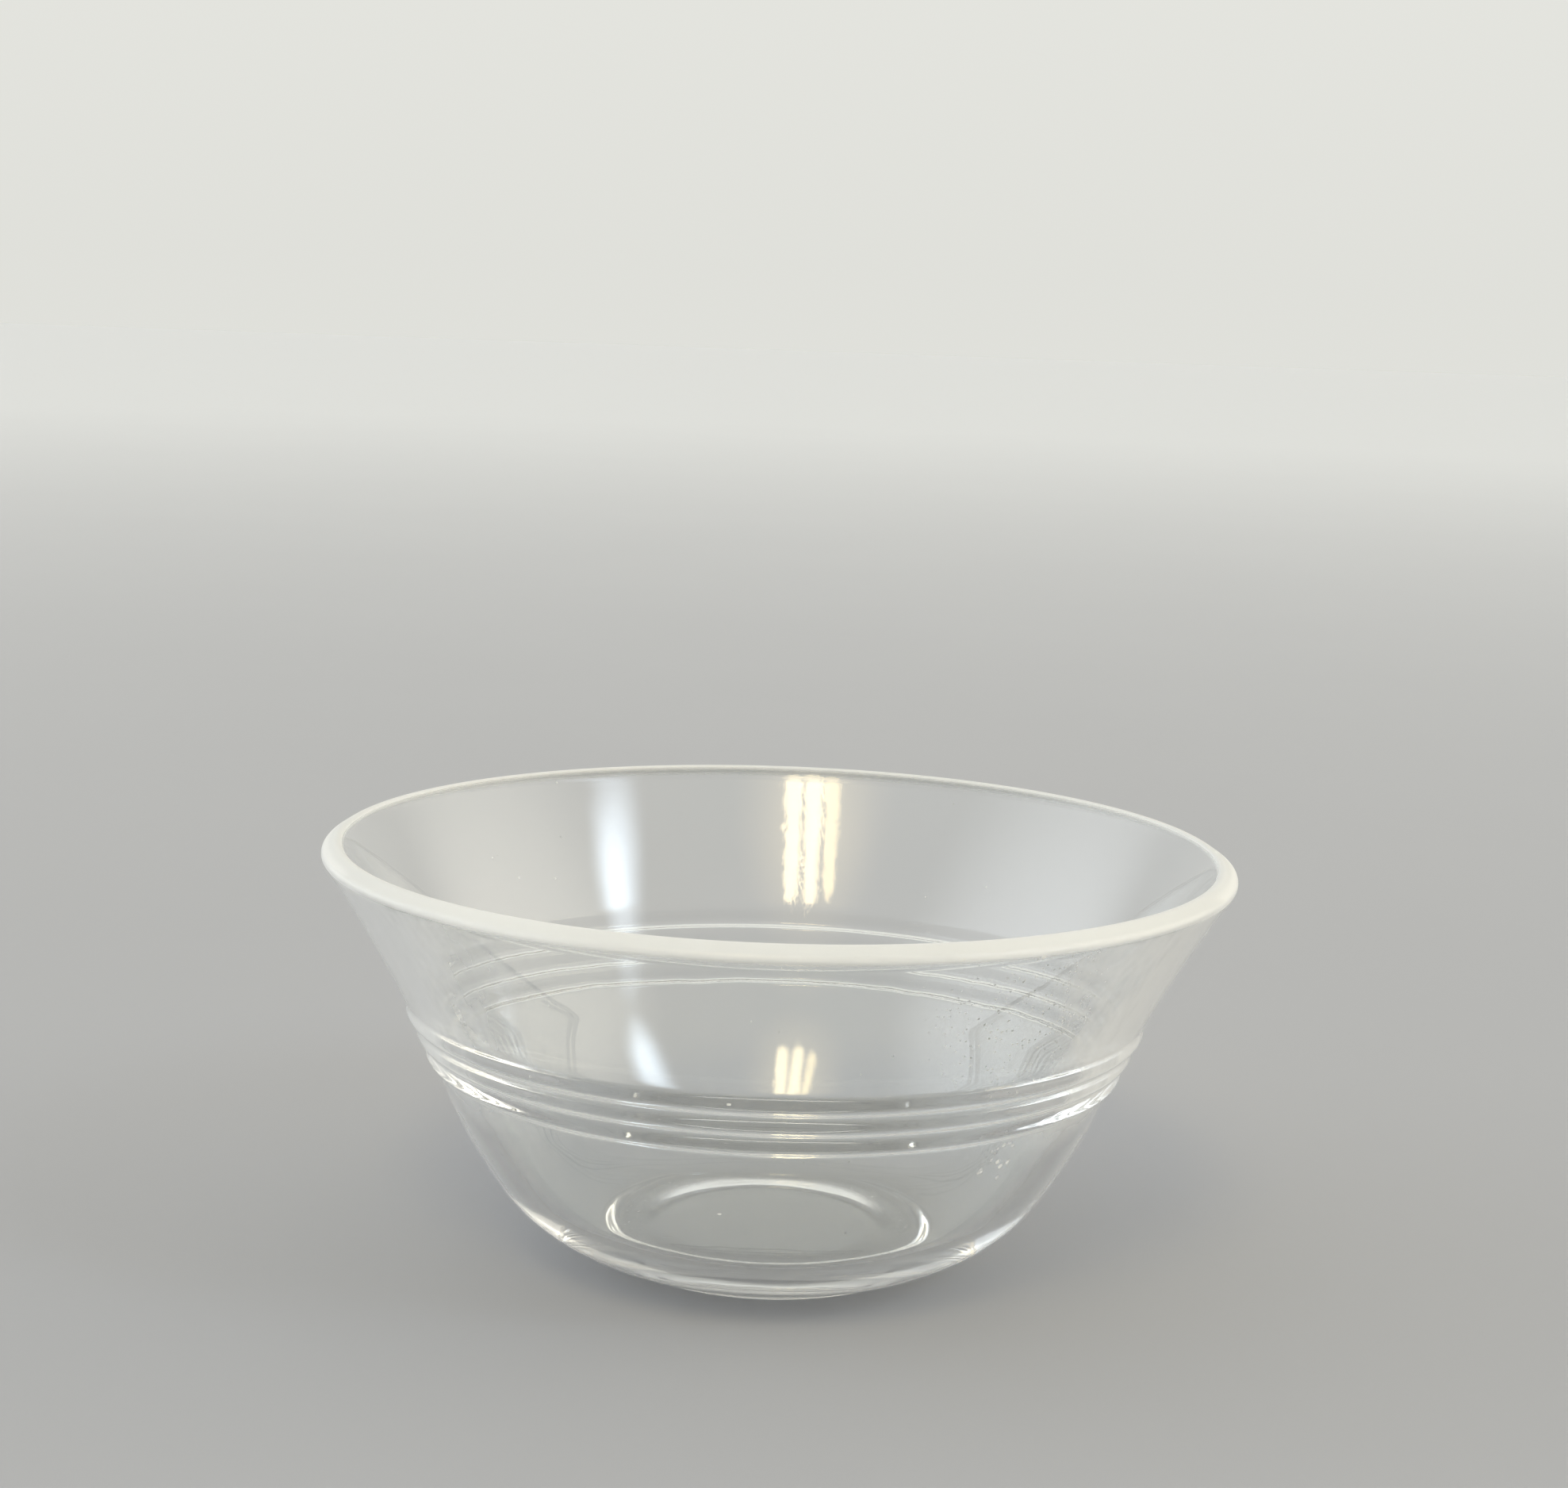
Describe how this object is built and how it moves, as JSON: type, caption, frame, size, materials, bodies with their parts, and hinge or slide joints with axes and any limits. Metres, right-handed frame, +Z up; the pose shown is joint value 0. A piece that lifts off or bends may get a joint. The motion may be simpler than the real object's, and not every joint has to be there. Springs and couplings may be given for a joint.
{
  "type": "prep bowl",
  "caption": "Clear pressed-glass prep bowl with a flared wall, rounded lip, raised ring band and low foot ring, for holding small amounts of ingredients.",
  "frame": {"origin": "centre of the foot ring's flat underside, where the bowl's axis meets the table", "axes": "+Z up along the bowl's axis; X and Y are free, because the bowl is a body of revolution"},
  "size_m": [0.11, 0.11, 0.0512],
  "materials": {
    "clear_glass": "clear, fire-polished, with faint wear"
  },
  "bodies": {
    "root": {"bowl": "clear_glass"}
  },
  "joints": []
}
